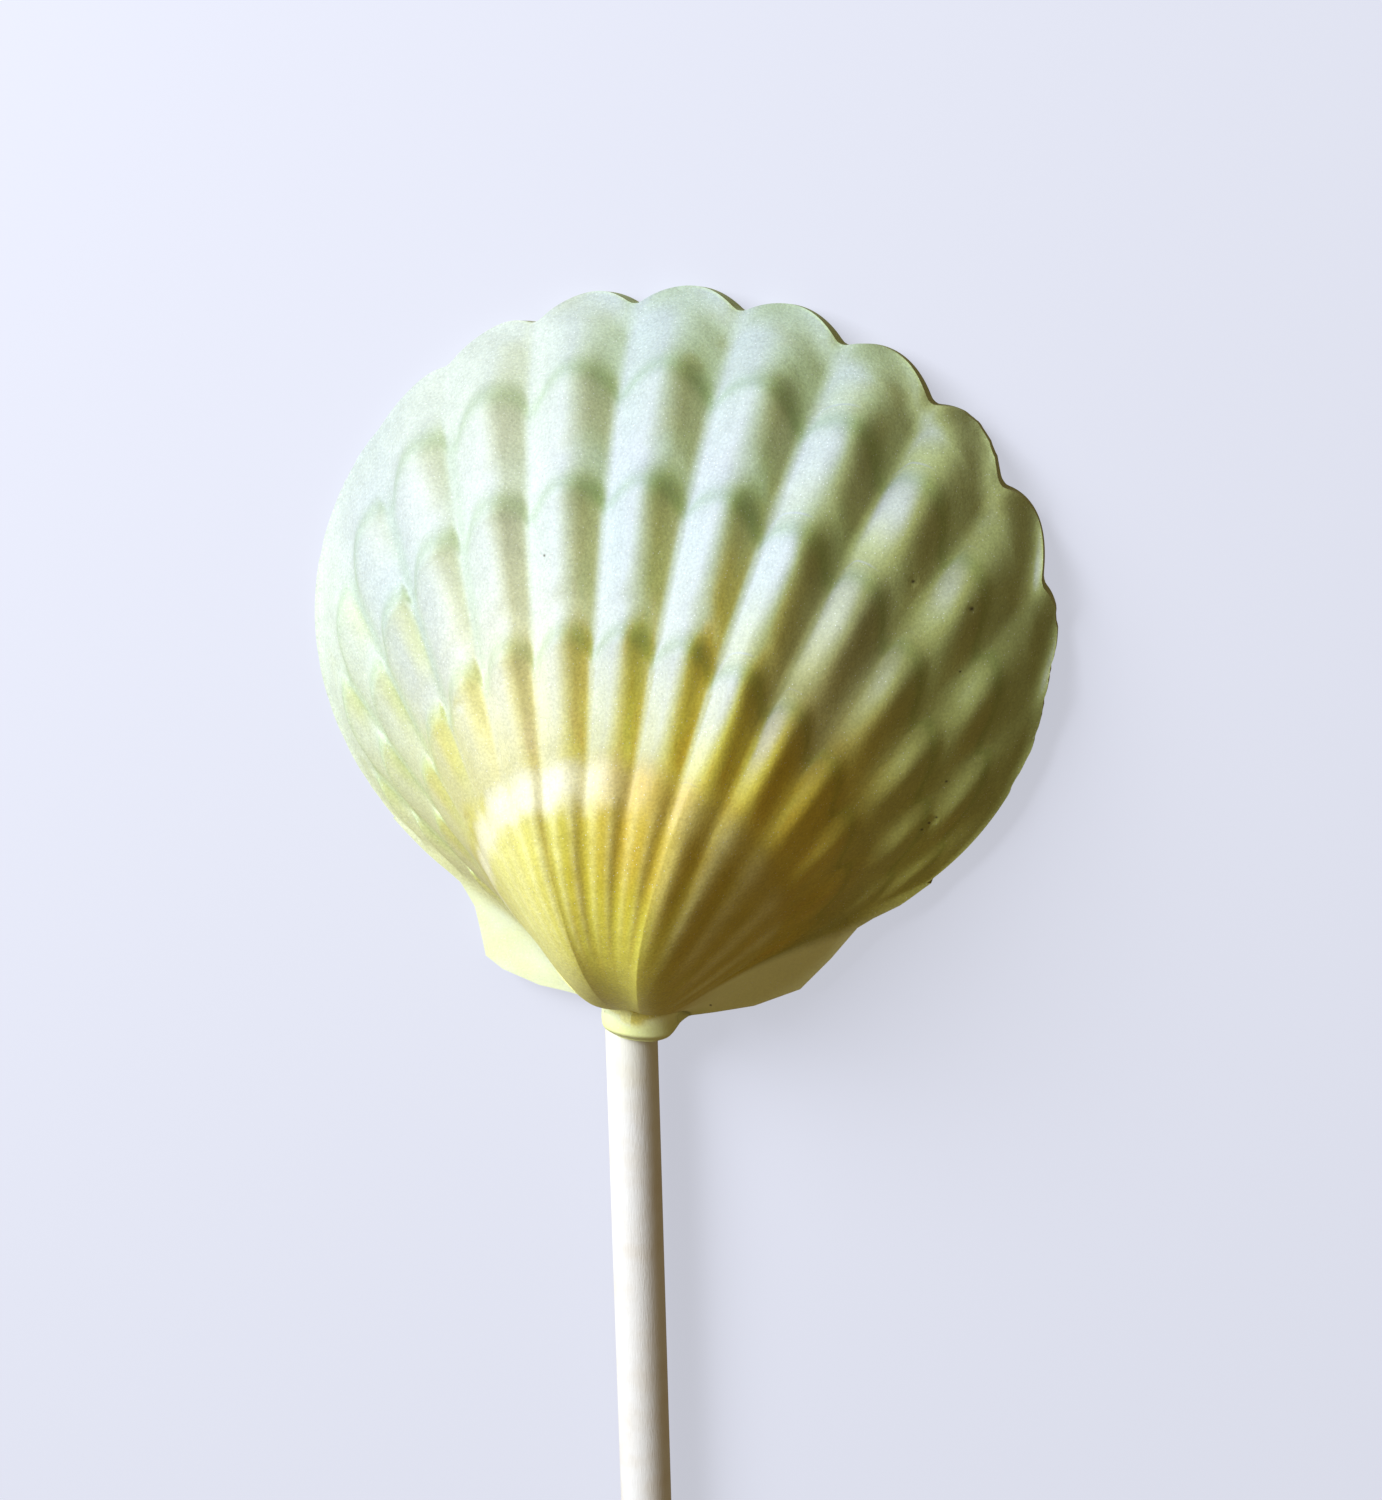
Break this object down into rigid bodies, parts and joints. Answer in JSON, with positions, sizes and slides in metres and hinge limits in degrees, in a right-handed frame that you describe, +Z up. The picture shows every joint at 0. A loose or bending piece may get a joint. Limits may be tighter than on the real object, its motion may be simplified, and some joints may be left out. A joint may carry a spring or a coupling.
{
  "type": "chocolate shell lollipop",
  "caption": "Lollipop of tinted white chocolate moulded as a ribbed scallop shell, solid with a flat back, on a plain white paper stick. It lies on its back.",
  "frame": {"origin": "on the flat back, below the stick's line, at the middle of the shell's length", "axes": "+Z up, out of the ribbed side; the stick runs along -Y; +X is to the right with the ribs towards the viewer and the stick down"},
  "size_m": [0.0557, 0.1424, 0.0188],
  "materials": {
    "chocolate": "satin pearl lustre",
    "paper": "matt"
  },
  "bodies": {
    "root": {"shell": "chocolate", "stick": "paper"}
  },
  "joints": []
}
